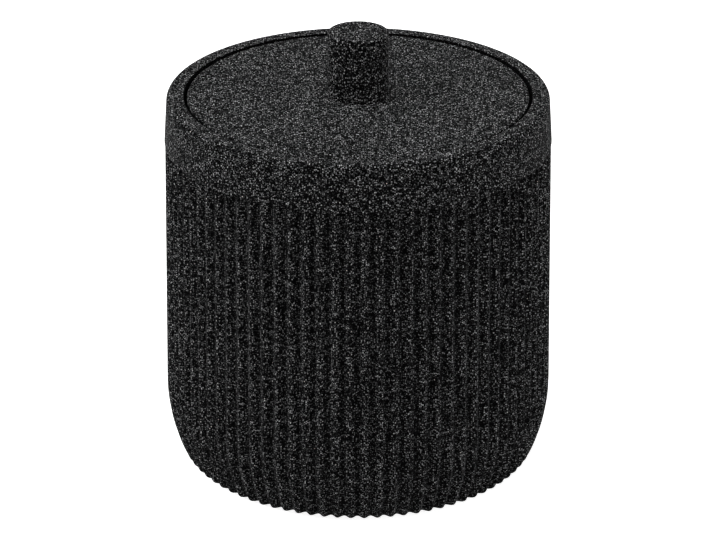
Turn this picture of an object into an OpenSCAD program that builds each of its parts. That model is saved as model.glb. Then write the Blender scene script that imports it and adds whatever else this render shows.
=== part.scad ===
// Lidded jar for cotton balls: a reeded cast jar, a drop-in lid with a knob, and a foam base pad.
// Millimetres, +Z up, origin on the axis at the underside of the base pad.

/* [Jar] */
// Diameter over the crests of the reeds, where the wall is widest
jar_d = 100; // [80:1:130]
// Height of the jar, from its foot to its rim
jar_h = 97.4; // [80:0.2:130]
// Height of the plain band between the reeds and the rim
band_h = 12; // [8:0.5:20]
// How far the wall leans in from its widest place up to the band
wall_lean = 1.1; // [0:0.05:3]
// How far the lower edge of the band stands out over the crests
band_lip = 0.15; // [0.1:0.05:0.5]
// How far the rim leans in from the lower edge of the band
band_draft = 0.7; // [0.1:0.1:1.5]
// Rounding of the rim's outer edge
rim_round = 1.2; // [0.2:0.1:2]
// Thickness of the floor
floor_t = 7; // [5:0.5:12]
// Radius of the inside corner between the wall and the floor
inner_corner_r = 10; // [4:0.5:16]

/* [Reeds] */
// Number of reeds round the wall
reed_count = 84; // [60:1:92]
// Depth of the valleys between the reeds
reed_depth = 1.1; // [0.3:0.05:1.4]
// How full each reed is: 1 is a round back between sharp valleys, 2 is a soft wave
reed_softness = 2; // [1:0.1:3]
// Flat faces across each reed
reed_facets = 6; // [4:2:6]

/* [Lower edge] */
// Radius of the long curve that draws the wall in
belly_r = 44; // [36:0.5:48]
// Angle that the long curve turns through
belly_angle = 23.5; // [15:0.5:35]
// Radius of the small curve under it, which rounds into the foot
heel_r = 2; // [1.6:0.1:4]

/* [Lid] */
// Width of the rim outside the lid
rim_w = 4.4; // [3.5:0.1:5]
// Gap between the lid and the rim, all round
lid_gap = 0.8; // [0.4:0.1:1.2]
// How far the edge of the lid reaches over its seat in the jar
seat_w = 2.6; // [1.5:0.1:5]
// Thickness of the lid's disc
lid_t = 5; // [3.5:0.5:8]
// How far the top of the lid lies below the rim
lid_drop = 0.3; // [0:0.1:0.8]
// Rounding of the lid's upper edge
lid_round = 0.4; // [0.2:0.1:0.8]
// Depth of the step under the lid that centres it in the mouth
step_h = 2.5; // [1.5:0.5:5]
// Gap between that step and the mouth
step_gap = 0.6; // [0.4:0.1:1]

/* [Knob] */
// Diameter of the knob
knob_d = 15.4; // [12:0.2:24]
// Height of the knob above the lid
knob_h = 16.8; // [10:0.2:26]
// Rounding of the knob's upper edge
knob_round = 0.8; // [0.4:0.1:2]

/* [Base pad] */
// Width of the bare foot outside the pad
foot_w = 5; // [3:0.5:15]
// Thickness of the pad
pad_t = 1.5; // [1:0.1:2.5]
// How far the pad stands out below the foot
pad_proud = 0.5; // [0.3:0.1:0.8]
// Gap between the edge of the pad and its recess
pad_gap = 0.3; // [0.2:0.1:0.8]

/* [Hidden] */
$fn = 120;

// Heights
foot_z = pad_proud;
rim_z = foot_z + jar_h;
band_z = rim_z - band_h;
lid_top_z = rim_z - lid_drop;
knob_z = lid_top_z + knob_h;
seat_z = lid_top_z - lid_t;
floor_z = foot_z + floor_t;

// Radii
jar_r = jar_d / 2;
wall_top_r = jar_r - wall_lean;
band_r = wall_top_r + band_lip;
rim_r = band_r - band_draft;
seat_r = rim_r - rim_w;
lid_r = seat_r - lid_gap;
mouth_r = lid_r - seat_w;
step_r = mouth_r - step_gap;
knob_r = knob_d / 2;

// Centres of the two curves of the lower edge
belly_x = jar_r - belly_r;
heel_x = belly_x + (belly_r - heel_r) * cos(belly_angle);
heel_z = foot_z + heel_r;
belly_z = heel_z + (belly_r - heel_r) * sin(belly_angle);

// The foot ends where the heel turns flat, and the recess for the pad lies inside it
recess_r = heel_x - foot_w;
pad_r = recess_r - pad_gap;

// Flat steps in each curve
belly_steps = 4;
heel_steps = 3;
edge_steps = 6;

// How far solids run on past a face that they are joined to or cut through
lap = 1;

// Points of an arc about [x, z], from one angle to another.
function arc(x, z, r, from, to, steps) =
  [for (i = [0 : steps]) let (a = from + (to - from) * i / steps) [x + r * cos(a), z + r * sin(a)]];

// Outline of the reeded wall over the crests, from the foot up: each entry is [radius, height, slope].
// The slope is the angle at which the surface there faces below the horizontal.
wall_rings = concat(
  [for (i = [0 : heel_steps])
    let (a = 90 - (90 - belly_angle) * i / heel_steps)
    [heel_x + heel_r * cos(a), heel_z - heel_r * sin(a), a]],
  [for (i = [1 : belly_steps])
    let (a = belly_angle * (1 - i / belly_steps))
    [belly_x + belly_r * cos(a), belly_z - belly_r * sin(a), a]],
  [[wall_top_r, band_z + lap, 0]]
);

// Depth below the crests at a place across a reed, which runs from 0 to 1 between two valleys.
function valley(across) = reed_depth * (1 - pow(sin(180 * across), reed_softness));

// A point of the reeded wall on one ring, sunk by the depth of the valley there. It sinks square to the wall
// and to the long curve; round the heel it rises less and less, so that the reeds end in a flat, scalloped foot.
function wall_point(ring, across, turn) =
  let (
    sunk = valley(across),
    facing = min(ring[2], belly_angle),
    rise = (90 - max(ring[2], belly_angle)) / (90 - belly_angle),
    r = ring[0] - sunk * cos(facing),
    z = ring[1] + sunk * sin(facing) * rise
  )
  [r * cos(turn), r * sin(turn), z];

// The jar's solid outside below the band: rings of points round the axis, joined by triangles.
module reeded_wall() {
  around = reed_count * reed_facets;
  rings = len(wall_rings);
  top = rings * around;
  points = concat(
    [for (ring = wall_rings, i = [0 : around - 1])
      wall_point(ring, (i % reed_facets) / reed_facets, 360 * (i / around) - 90)],
    [[0, 0, foot_z], [0, 0, band_z + lap]]
  );
  sides = [for (k = [0 : rings - 2], i = [0 : around - 1])
    let (
      j = (i + 1) % around,
      a = k * around + i,
      b = k * around + j,
      c = a + around,
      d = b + around
    )
    each [[a, c, b], [b, c, d]]];
  caps = [for (i = [0 : around - 1])
    let (j = (i + 1) % around)
    each [[i, j, top], [top - around + j, top - around + i, top + 1]]];
  polyhedron(points, concat(sides, caps));
}

// The plain band and rim, solid to the axis.
module band() {
  rotate_extrude()
    polygon(concat(
      [[0, band_z], [band_r, band_z]],
      arc(rim_r - rim_round, rim_z - rim_round, rim_round, 0, 90, edge_steps),
      [[0, rim_z]]
    ));
}

// The inside: a mouth with a seat for the lid above it, and a rounded corner at the floor.
module hollow() {
  rotate_extrude()
    polygon(concat(
      [[0, floor_z]],
      arc(mouth_r - inner_corner_r, floor_z + inner_corner_r, inner_corner_r, -90, 0, edge_steps),
      [[mouth_r, seat_z], [seat_r, seat_z], [seat_r, rim_z + lap], [0, rim_z + lap]]
    ));
}

// The recess under the foot that the pad is glued into.
module pad_recess() {
  cylinder(r = recess_r, h = pad_t);
}

module jar() {
  color("#2b2c2e")
    difference() {
      union() {
        reeded_wall();
        band();
      }
      hollow();
      pad_recess();
    }
}

// The lid is one casting: a disc with a centring step under it and the knob on top.
module lid() {
  color("#2f3032")
    rotate_extrude()
      polygon(concat(
        [[0, seat_z - step_h], [step_r, seat_z - step_h], [step_r, seat_z], [lid_r, seat_z]],
        arc(lid_r - lid_round, lid_top_z - lid_round, lid_round, 0, 90, edge_steps),
        [[knob_r, lid_top_z]],
        arc(knob_r - knob_round, knob_z - knob_round, knob_round, 0, 90, edge_steps),
        [[0, knob_z]]
      ));
}

module base_pad() {
  color("#1c1c1d") cylinder(r = pad_r, h = pad_t);
}

jar();
lid();
base_pad();
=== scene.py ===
"""Looks of the cotton ball jar: a reeded jar of speckled black stone resin, its lid and its foam pad."""

import math

import bpy
from mathutils import Euler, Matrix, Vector


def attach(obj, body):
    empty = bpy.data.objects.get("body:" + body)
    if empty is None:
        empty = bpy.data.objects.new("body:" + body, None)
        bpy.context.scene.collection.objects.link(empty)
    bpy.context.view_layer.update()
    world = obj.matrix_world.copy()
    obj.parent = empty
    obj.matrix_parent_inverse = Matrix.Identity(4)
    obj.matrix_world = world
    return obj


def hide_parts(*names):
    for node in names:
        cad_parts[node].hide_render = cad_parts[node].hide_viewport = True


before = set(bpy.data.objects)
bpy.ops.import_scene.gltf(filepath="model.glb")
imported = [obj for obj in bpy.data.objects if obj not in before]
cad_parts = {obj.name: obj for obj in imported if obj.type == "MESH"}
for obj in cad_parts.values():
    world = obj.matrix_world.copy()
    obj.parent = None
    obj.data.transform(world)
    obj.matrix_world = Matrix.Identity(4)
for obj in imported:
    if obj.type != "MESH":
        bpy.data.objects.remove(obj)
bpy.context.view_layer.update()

MM = 0.001

# Sizes of the part in millimetres, the same as in its source
JAR_R = 50.0
JAR_H = 97.4
BAND_H = 12.0
WALL_LEAN = 1.1
BAND_LIP = 0.15
BAND_DRAFT = 0.7
RIM_ROUND = 1.2
FLOOR_T = 7.0
INNER_CORNER_R = 10.0
REED_COUNT = 84
REED_DEPTH = 1.1
REED_SOFTNESS = 2.0
BELLY_R = 44.0
BELLY_ANGLE = 23.5
HEEL_R = 2.0
RIM_W = 4.4
LID_GAP = 0.8
SEAT_W = 2.6
LID_T = 5.0
LID_DROP = 0.3
LID_ROUND = 0.4
STEP_H = 2.5
STEP_GAP = 0.6
KNOB_R = 7.7
KNOB_H = 16.8
KNOB_ROUND = 0.8
FOOT_W = 5.0
PAD_T = 1.5
PAD_PROUD = 0.5
PAD_GAP = 0.3

# Heights and radii that follow from them
FOOT_Z = PAD_PROUD
RIM_Z = FOOT_Z + JAR_H
BAND_Z = RIM_Z - BAND_H
LID_TOP_Z = RIM_Z - LID_DROP
KNOB_Z = LID_TOP_Z + KNOB_H
SEAT_Z = LID_TOP_Z - LID_T
FLOOR_Z = FOOT_Z + FLOOR_T
WALL_TOP_R = JAR_R - WALL_LEAN
BAND_R = WALL_TOP_R + BAND_LIP
RIM_R = BAND_R - BAND_DRAFT
SEAT_R = RIM_R - RIM_W
LID_R = SEAT_R - LID_GAP
MOUTH_R = LID_R - SEAT_W
STEP_R = MOUTH_R - STEP_GAP
BELLY_X = JAR_R - BELLY_R
HEEL_X = BELLY_X + (BELLY_R - HEEL_R) * math.cos(math.radians(BELLY_ANGLE))
HEEL_Z = FOOT_Z + HEEL_R
BELLY_Z = HEEL_Z + (BELLY_R - HEEL_R) * math.sin(math.radians(BELLY_ANGLE))
RECESS_R = HEEL_X - FOOT_W
PAD_R = RECESS_R - PAD_GAP

# Small rounds that a casting has at its plain edges
EDGE_SOFT = 0.2

# Points across each reed, and round the turned pieces
REED_POINTS = 12
TURNED_POINTS = 256

# Edges that turn by more than this stay sharp
SHARP_ANGLE = math.radians(50)

# The two colours of the cast stone, and how pale its grains are over the resin
BLACK_RESIN = (0.0006, 0.0006, 0.0007, 1)
PALE_GRAIN = (0.91, 0.915, 0.93, 1)
PALENESS = 0.8

# Size of the grains in millimetres
JAR_GRAIN = 0.4
LID_GRAIN = 0.44

# Share of the grains that shows in the bottoms of the reeds, and in the gap round the lid: painted shade,
# which darkens the reed valleys and paints the gap nearly black
VALLEY_GRAINS_UNDER_PAINTED_SHADE = 0.5
GAP_GRAINS_UNDER_PAINTED_SHADE = 0.05


def arc(x, z, r, start, stop, steps):
    """Points of an arc about (x, z), from one angle in degrees to another."""
    angles = [math.radians(start + (stop - start) * i / steps) for i in range(steps + 1)]
    return [(x + r * math.cos(a), z + r * math.sin(a)) for a in angles]


def line(start, stop, steps):
    """Points of a straight line after its start, so that it can follow another line."""
    shares = [i / steps for i in range(1, steps + 1)]
    return [(start[0] + (stop[0] - start[0]) * t, start[1] + (stop[1] - start[1]) * t) for t in shares]


def mesh_of_rings(name, rings):
    """A closed mesh of rings of points round the axis, its first and last rings filled to the middle."""
    around = len(rings[0])
    points = [point for ring in rings for point in ring]
    first, last = len(points), len(points) + 1
    points += [(0, 0, rings[0][0][2]), (0, 0, rings[-1][0][2])]
    faces = []
    for k in range(len(rings) - 1):
        for i in range(around):
            j = (i + 1) % around
            low, high = k * around, (k + 1) * around
            faces.append((low + i, low + j, high + j, high + i))
    top = (len(rings) - 1) * around
    for i in range(around):
        j = (i + 1) % around
        faces.append((first, j, i))
        faces.append((last, top + i, top + j))
    mesh = bpy.data.meshes.new(name)
    mesh.from_pydata([[c * MM for c in point] for point in points], [], faces)
    mesh.shade_smooth()
    mesh.set_sharp_from_angle(angle=SHARP_ANGLE)
    piece = bpy.data.objects.new(name, mesh)
    bpy.context.scene.collection.objects.link(piece)
    return piece


def plain_ring(r, z, around):
    """A round ring of points, which starts at the front."""
    turns = [2 * math.pi * i / around - math.pi / 2 for i in range(around)]
    return [(r * math.cos(turn), r * math.sin(turn), z) for turn in turns]


def reeded_ring(r, z, slope):
    """A ring that sinks between the reeds: square to wall and belly, and ever more level round the heel."""
    around = REED_COUNT * REED_POINTS
    facing = math.radians(min(slope, BELLY_ANGLE))
    rise = (90 - max(slope, BELLY_ANGLE)) / (90 - BELLY_ANGLE)
    inward, upward = math.cos(facing), math.sin(facing) * rise
    ring = []
    for i in range(around):
        across = (i % REED_POINTS) / REED_POINTS
        sunk = REED_DEPTH * (1 - math.sin(math.pi * across) ** REED_SOFTNESS)
        turn = 2 * math.pi * i / around - math.pi / 2
        out = r - sunk * inward
        ring.append((out * math.cos(turn), out * math.sin(turn), z + sunk * upward))
    return ring


def jar_casting():
    """The jar: pad recess, foot, heel and belly, reeded wall, plain band and rim, lid seat and inside."""
    around = REED_COUNT * REED_POINTS
    under = [(RECESS_R * 0.5, PAD_T), (RECESS_R, PAD_T), (RECESS_R, FOOT_Z)]
    rings = [plain_ring(r, z, around) for r, z in under]

    heel_steps, belly_steps, wall_steps = 8, 12, 6
    for i in range(heel_steps + 1):
        slope = 90 - (90 - BELLY_ANGLE) * i / heel_steps
        a = math.radians(slope)
        rings.append(reeded_ring(HEEL_X + HEEL_R * math.cos(a), HEEL_Z - HEEL_R * math.sin(a), slope))
    for i in range(1, belly_steps + 1):
        slope = BELLY_ANGLE * (1 - i / belly_steps)
        a = math.radians(slope)
        rings.append(reeded_ring(BELLY_X + BELLY_R * math.cos(a), BELLY_Z - BELLY_R * math.sin(a), slope))
    for r, z in line((JAR_R, BELLY_Z), (WALL_TOP_R, BAND_Z), wall_steps):
        rings.append(reeded_ring(r, z, 0))

    band = arc(BAND_R - EDGE_SOFT, BAND_Z + EDGE_SOFT, EDGE_SOFT, -90, 0, 4)
    band += line(band[-1], (RIM_R, RIM_Z - RIM_ROUND), 3)
    band += arc(RIM_R - RIM_ROUND, RIM_Z - RIM_ROUND, RIM_ROUND, 0, 90, 6)[1:]
    band += arc(SEAT_R + EDGE_SOFT, RIM_Z - EDGE_SOFT, EDGE_SOFT, 90, 180, 3)
    band += [(SEAT_R, SEAT_Z)]
    band += arc(MOUTH_R + EDGE_SOFT, SEAT_Z - EDGE_SOFT, EDGE_SOFT, 90, 180, 3)
    band += line(band[-1], (MOUTH_R, FLOOR_Z + INNER_CORNER_R), 4)
    band += arc(MOUTH_R - INNER_CORNER_R, FLOOR_Z + INNER_CORNER_R, INNER_CORNER_R, 0, -90, 10)[1:]
    band += [(MOUTH_R * 0.4, FLOOR_Z)]
    rings += [plain_ring(r, z, around) for r, z in band]
    return mesh_of_rings("jar_casting", rings)


def turned(name, outline):
    """A round piece from the half outline of its section."""
    return mesh_of_rings(name, [plain_ring(r, z, TURNED_POINTS) for r, z in outline])


def lid_casting():
    """The lid: centring step, disc and knob, with a small cove where the knob stands on the disc."""
    low = SEAT_Z - STEP_H
    cove = 0.3
    outline = [(STEP_R * 0.5, low)]
    outline += arc(STEP_R - EDGE_SOFT, low + EDGE_SOFT, EDGE_SOFT, -90, 0, 3)
    outline += [(STEP_R, SEAT_Z)]
    outline += arc(LID_R - EDGE_SOFT, SEAT_Z + EDGE_SOFT, EDGE_SOFT, -90, 0, 3)
    outline += arc(LID_R - LID_ROUND, LID_TOP_Z - LID_ROUND, LID_ROUND, 0, 90, 5)
    outline += line((LID_R - LID_ROUND, LID_TOP_Z), (KNOB_R + cove, LID_TOP_Z), 4)
    outline += arc(KNOB_R + cove, LID_TOP_Z + cove, cove, -90, -180, 4)[1:]
    outline += arc(KNOB_R - KNOB_ROUND, KNOB_Z - KNOB_ROUND, KNOB_ROUND, 0, 90, 8)
    outline += [(KNOB_R * 0.4, KNOB_Z)]
    return turned("lid_casting", outline)


def foam_pad():
    """The foam pad under the foot, with a softly cut lower edge."""
    soft = 0.3
    outline = [(PAD_R * 0.5, 0.0)]
    outline += arc(PAD_R - soft, soft, soft, -90, 0, 4)
    outline += [(PAD_R, PAD_T), (PAD_R * 0.5, PAD_T)]
    return turned("foam_pad", outline)


def add(tree, kind, inputs=(), **settings):
    """A new node with its settings, and with its inputs set to values or linked to other nodes' outputs."""
    made = tree.nodes.new(kind)
    for name, value in settings.items():
        setattr(made, name, value)
    for name, value in dict(inputs).items():
        if isinstance(value, bpy.types.NodeSocket):
            tree.links.new(value, made.inputs[name])
        else:
            made.inputs[name].default_value = value
    return made


def maths(tree, operation, a, b=0.0):
    """The output of a math node."""
    return add(tree, "ShaderNodeMath", {0: a, 1: b}, operation=operation).outputs[0]


def ramp(tree, value, low, high, to_low=0.0, to_high=1.0):
    """The output of a smooth map range node."""
    made = add(
        tree,
        "ShaderNodeMapRange",
        {"Value": value, "From Min": low, "From Max": high, "To Min": to_low, "To Max": to_high},
        interpolation_type="SMOOTHSTEP",
    )
    return made.outputs["Result"]


def blended(tree, share, first, second):
    """The output of a mix of two colours, whose sockets follow those for numbers and vectors on the node."""
    made = add(tree, "ShaderNodeMix", {0: share, 6: first, 7: second}, data_type="RGBA")
    return made.outputs[2]


def group_with(name, inputs, outputs):
    """An empty node group with its named inputs and outputs: each input is (name, kind, value)."""
    group = bpy.data.node_groups.new(name, "ShaderNodeTree")
    for label, kind, value in inputs:
        socket = group.interface.new_socket(name=label, in_out="INPUT", socket_type=kind)
        socket.default_value = value
    for label, kind in outputs:
        group.interface.new_socket(name=label, in_out="OUTPUT", socket_type=kind)
    return group, group.nodes.new("NodeGroupInput"), group.nodes.new("NodeGroupOutput")


def stone_grains():
    """Pale mineral grains in black resin: crowded fine ones, smaller dust, and a few bright ones."""
    group, given, result = group_with(
        "stone grains",
        [
            ("Grain Size", "NodeSocketFloat", JAR_GRAIN),
            ("Paleness", "NodeSocketFloat", PALENESS),
            ("Resin", "NodeSocketColor", BLACK_RESIN),
            ("Grain", "NodeSocketColor", PALE_GRAIN),
        ],
        [
            ("Color", "NodeSocketColor"),
            ("Roughness", "NodeSocketFloat"),
            ("Height", "NodeSocketFloat"),
        ],
    )
    place = add(group, "ShaderNodeTexCoord").outputs["Object"]
    per_metre = maths(group, "DIVIDE", 1000.0, given.outputs["Grain Size"])

    def grains_of(density, rarity, shift):
        """One kind of grain: how pale each point is, and how close it is to the middle of its grain."""
        away = (shift, 0.37 * shift, -shift)
        moved = add(group, "ShaderNodeVectorMath", {0: place, 1: away}, operation="ADD")
        scale = maths(group, "MULTIPLY", per_metre, density)
        found = add(group, "ShaderNodeTexVoronoi", {"Vector": moved.outputs[0], "Scale": scale})
        chance = add(group, "ShaderNodeSeparateColor", {"Color": found.outputs["Color"]}).outputs["Red"]
        middle = ramp(group, found.outputs["Distance"], 0.5, 0.15)
        return maths(group, "MULTIPLY", maths(group, "POWER", chance, rarity), middle), middle

    fine, fine_middle = grains_of(density=1.0, rarity=3.0, shift=0.013)
    dust, _ = grains_of(density=1.6, rarity=8.0, shift=0.041)
    bright, _ = grains_of(density=1.0, rarity=16.0, shift=0.029)

    dust_strength, bright_strength, palest = 0.4, 1.5, 0.9
    pale = maths(group, "ADD", fine, maths(group, "MULTIPLY", dust, dust_strength))
    pale = maths(group, "ADD", pale, maths(group, "MULTIPLY", bright, bright_strength))
    pale = maths(group, "MULTIPLY", pale, given.outputs["Paleness"])
    pale = maths(group, "MINIMUM", pale, palest)
    color = blended(group, pale, given.outputs["Resin"], given.outputs["Grain"])
    group.links.new(color, result.inputs["Color"])

    resin_rough, grain_rough = 0.72, 0.45
    group.links.new(ramp(group, fine, 0.0, 0.6, resin_rough, grain_rough), result.inputs["Roughness"])

    waves_per_metre, grain_height = 900.0, 0.5
    waves = add(group, "ShaderNodeTexNoise", {"Vector": place, "Scale": waves_per_metre, "Detail": 3.0})
    raised = maths(group, "MULTIPLY", fine_middle, grain_height)
    group.links.new(maths(group, "ADD", raised, waves.outputs["Fac"]), result.inputs["Height"])
    return group


def grains_under_painted_shade():
    """Painted shade as a share of the grains that shows: all on open faces, less between the reeds, hardly
    any in the gap round the lid.
    """
    group, _, result = group_with("grains shown", [], [("Grains Under Painted Shade", "NodeSocketFloat")])
    place = add(group, "ShaderNodeTexCoord").outputs["Object"]
    axes = add(group, "ShaderNodeSeparateXYZ", {"Vector": place}).outputs
    flat = add(group, "ShaderNodeVectorMath", {0: place, 1: (1, 1, 0)}, operation="MULTIPLY").outputs[0]
    from_axis = add(group, "ShaderNodeVectorMath", {0: flat}, operation="LENGTH").outputs["Value"]

    def beyond(value, limit):
        """1 where the value is above a limit in millimetres, else 0."""
        return maths(group, "GREATER_THAN", value, limit * MM)

    # Painted shade: fewer pale grains towards the bottoms of the reeds, which darkens the valleys between
    # them
    turn = maths(group, "ARCTAN2", axes["X"], axes["Y"])
    wave = maths(group, "SINE", maths(group, "MULTIPLY", turn, REED_COUNT / 2))
    crest = maths(group, "MULTIPLY", wave, wave)
    reeds_with_painted_valley_shade = ramp(group, crest, 0.05, 0.75, VALLEY_GRAINS_UNDER_PAINTED_SHADE, 1.0)

    # These limits lie inside the casting, clear of the faces that they part
    margin = 1.0
    inside = maths(group, "SUBTRACT", 1.0, beyond(from_axis, MOUTH_R + margin))
    plain = maths(group, "MAXIMUM", beyond(axes["Z"], BAND_Z), inside)

    # Painted shade: the gap round the lid is painted nearly black. The gap is taken a little wider than it
    # is, so that its own walls are in it
    skin = 0.05
    gap_for_painted_shade = maths(group, "SUBTRACT", beyond(from_axis, LID_R - skin), beyond(from_axis, SEAT_R + skin))
    gap_for_painted_shade = maths(group, "MULTIPLY", gap_for_painted_shade, beyond(axes["Z"], SEAT_Z - margin))
    gap_painted_shade_factor = maths(group, "SUBTRACT", 1.0, maths(group, "MULTIPLY", gap_for_painted_shade, 1 - GAP_GRAINS_UNDER_PAINTED_SHADE))
    shown = maths(group, "MULTIPLY", maths(group, "MAXIMUM", reeds_with_painted_valley_shade, plain), gap_painted_shade_factor)
    group.links.new(shown, result.inputs["Grains Under Painted Shade"])
    return group


def stone_resin(name, grains, shown, grain_size):
    """Black cast resin with pale stone grains of the given size, with fewer of them where shade is painted.
    """
    material = bpy.data.materials.new(name)
    material.use_nodes = True
    tree = material.node_tree
    shader = tree.nodes["Principled BSDF"]
    # The grains are paled less in the painted shade of the reed valleys and of the gap round the lid
    share = add(tree, "ShaderNodeGroup", node_tree=shown).outputs["Grains Under Painted Shade"]
    speckle = add(tree, "ShaderNodeGroup", node_tree=grains)
    speckle.inputs["Grain Size"].default_value = grain_size
    tree.links.new(maths(tree, "MULTIPLY", share, PALENESS), speckle.inputs["Paleness"])
    relief = {"Strength": 0.5, "Distance": 0.05 * MM, "Height": speckle.outputs["Height"]}
    bump = add(tree, "ShaderNodeBump", relief)
    tree.links.new(speckle.outputs["Color"], shader.inputs["Base Color"])
    tree.links.new(speckle.outputs["Roughness"], shader.inputs["Roughness"])
    tree.links.new(bump.outputs["Normal"], shader.inputs["Normal"])
    shader.inputs["Specular IOR Level"].default_value = 0.01
    return material


def foam(name):
    """Matt black closed-cell foam, with the fine open cells of its cut face."""
    material = bpy.data.materials.new(name)
    material.use_nodes = True
    tree = material.node_tree
    shader = tree.nodes["Principled BSDF"]
    place = add(tree, "ShaderNodeTexCoord").outputs["Object"]
    cells_per_metre, patches_per_metre, black = 2600.0, 120.0, 0.014
    cells = add(tree, "ShaderNodeTexVoronoi", {"Vector": place, "Scale": cells_per_metre}).outputs["Distance"]
    patches = add(tree, "ShaderNodeTexNoise", {"Vector": place, "Scale": patches_per_metre, "Detail": 4.0})
    shade = patches.outputs["Fac"]
    cell_tone, patch_tone = ramp(tree, cells, 0.1, 0.8, 0.6, 1.2), ramp(tree, shade, 0.3, 0.7, 0.85, 1.15)
    tone = maths(tree, "MULTIPLY", maths(tree, "MULTIPLY", cell_tone, patch_tone), black)
    color = add(tree, "ShaderNodeCombineColor", {"Red": tone, "Green": tone, "Blue": tone})
    bump = add(tree, "ShaderNodeBump", {"Strength": 0.6, "Distance": 0.08 * MM, "Height": cells})
    tree.links.new(color.outputs["Color"], shader.inputs["Base Color"])
    tree.links.new(ramp(tree, shade, 0.3, 0.7, 0.85, 0.97), shader.inputs["Roughness"])
    tree.links.new(bump.outputs["Normal"], shader.inputs["Normal"])
    shader.inputs["Specular IOR Level"].default_value = 0.06
    return material


def white_seen(tree):
    """1 for rays from the camera and for those that gloss or glass sends on, else 0."""
    path = add(tree, "ShaderNodeLightPath").outputs
    seen = maths(tree, "MAXIMUM", path["Is Camera Ray"], path["Is Glossy Ray"])
    return maths(tree, "MAXIMUM", seen, path["Is Transmission Ray"])


def white_floor():
    """A wide white floor that shows as white and keeps a faint shadow."""
    reach = 6.0
    white, glow = 0.8, 0.93
    mesh = bpy.data.meshes.new("studio_floor")
    corners = [(-reach, -reach, 0), (reach, -reach, 0), (reach, reach, 0), (-reach, reach, 0)]
    mesh.from_pydata(corners, [], [(0, 1, 2, 3)])
    floor = bpy.data.objects.new("studio_floor", mesh)
    bpy.context.scene.collection.objects.link(floor)
    material = bpy.data.materials.new("white floor")
    material.use_nodes = True
    tree = material.node_tree
    shader = tree.nodes["Principled BSDF"]
    shader.inputs["Base Color"].default_value = (white, white, white, 1)
    shader.inputs["Roughness"].default_value = 0.9
    shader.inputs["Specular IOR Level"].default_value = 0.0
    shader.inputs["Emission Color"].default_value = (1, 1, 1, 1)
    tree.links.new(maths(tree, "MULTIPLY", white_seen(tree), glow), shader.inputs["Emission Strength"])
    mesh.materials.append(material)


def white_world(ambient):
    """A world that shows as white and lights the object at the given level."""
    world = bpy.data.worlds.new("studio")
    bpy.context.scene.world = world
    world.use_nodes = True
    tree = world.node_tree
    strength = ramp(tree, white_seen(tree), 0.0, 1.0, ambient, 1.0)
    background = tree.nodes["Background"]
    background.inputs["Color"].default_value = (1, 1, 1, 1)
    tree.links.new(strength, background.inputs["Strength"])


def softbox(name, place, size, watts, target=(0, 0, 0.05)):
    """A square lamp that faces the jar."""
    lamp = bpy.data.lights.new(name, "AREA")
    lamp.shape = "SQUARE"
    lamp.size = size
    lamp.energy = watts
    box = bpy.data.objects.new(name, lamp)
    box.location = place
    box.rotation_euler = (Vector(target) - Vector(place)).to_track_quat("-Z", "Y").to_euler()
    bpy.context.scene.collection.objects.link(box)


def camera():
    """The photograph's viewing angle: from the front, a long lens that looks down on the lid."""
    across, forward, up = 2.6 * MM, -721.1 * MM, 379.5 * MM
    down = 24.645
    turned_left = 0.209
    pixels_to_focus, frame_width, sensor = 3066.4, 716, 36.0
    data = bpy.data.cameras.new("camera")
    data.sensor_width = sensor
    data.lens = pixels_to_focus / frame_width * sensor
    data.dof.use_dof = False
    data.clip_start, data.clip_end = 0.01, 50
    eye = bpy.data.objects.new("camera", data)
    eye.location = (across, forward, up)
    eye.rotation_euler = Euler((math.radians(90 - down), 0, math.radians(turned_left)))
    bpy.context.scene.collection.objects.link(eye)
    bpy.context.scene.camera = eye


camera()
white_floor()
white_world(ambient=0.02)
softbox("top softbox", place=(-0.1, -0.05, 1.05), size=0.65, watts=6.9)
softbox("left softbox", place=(-0.87, -0.26, 0.74), size=0.22, watts=5.1)
softbox("right softbox", place=(0.9, -0.35, 0.4), size=0.6, watts=2.6)

grains = stone_grains()
shown = grains_under_painted_shade()
jar_stone = stone_resin("speckled black resin of the jar", grains, shown, JAR_GRAIN)
lid_stone = stone_resin("speckled black resin of the lid", grains, shown, LID_GRAIN)

for piece, node, slot, material in (
    (jar_casting(), "jar", "jar_stone", jar_stone),
    (lid_casting(), "lid", "lid_stone", lid_stone),
    (foam_pad(), "base_pad", "pad_foam", foam("black foam of the pad")),
):
    piece.data.materials.append(material)
    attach(piece, "root")
    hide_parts(node)

view = bpy.context.scene.view_settings
view.view_transform = "Standard"
